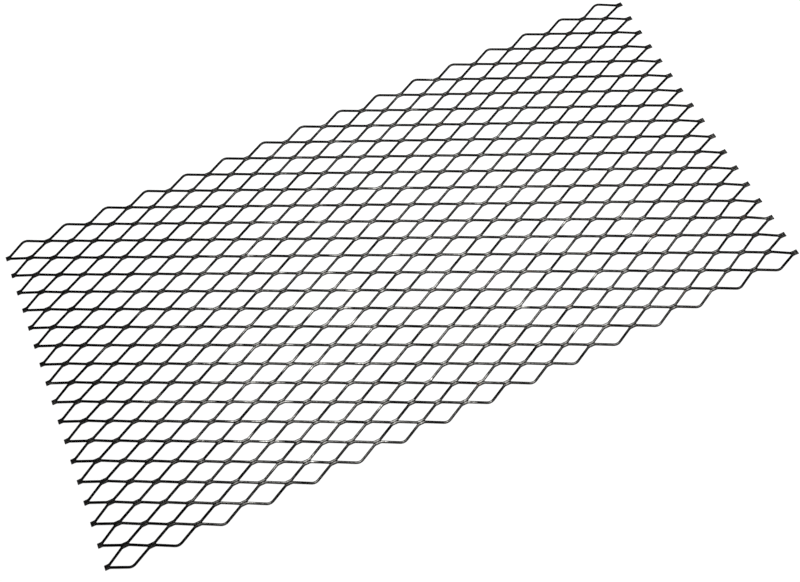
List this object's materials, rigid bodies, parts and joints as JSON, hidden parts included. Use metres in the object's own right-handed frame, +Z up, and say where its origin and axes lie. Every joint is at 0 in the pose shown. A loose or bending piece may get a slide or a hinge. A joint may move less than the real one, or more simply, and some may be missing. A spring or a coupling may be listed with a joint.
{
  "type": "metal grid sheet",
  "caption": "Flat rectangular sheet of flattened expanded steel: zigzag strands meet in two-strand bonds around long diamond openings, rounded along the long edges and cut square at the ends.",
  "frame": {"origin": "on the floor, under the middle of the sheet", "axes": "+X along the long way of the diamonds and of the sheet, +Y across the strands towards the far long edge, +Z up out of the sheet"},
  "size_m": [1.0064, 0.5016, 0.002],
  "materials": {
    "mill_steel": "dark mill scale, dull, with a soft broad sheen"
  },
  "bodies": {
    "root": {"front_rows": "mill_steel", "mid_front_rows": "mill_steel", "mid_back_rows": "mill_steel", "back_rows": "mill_steel"}
  },
  "joints": []
}
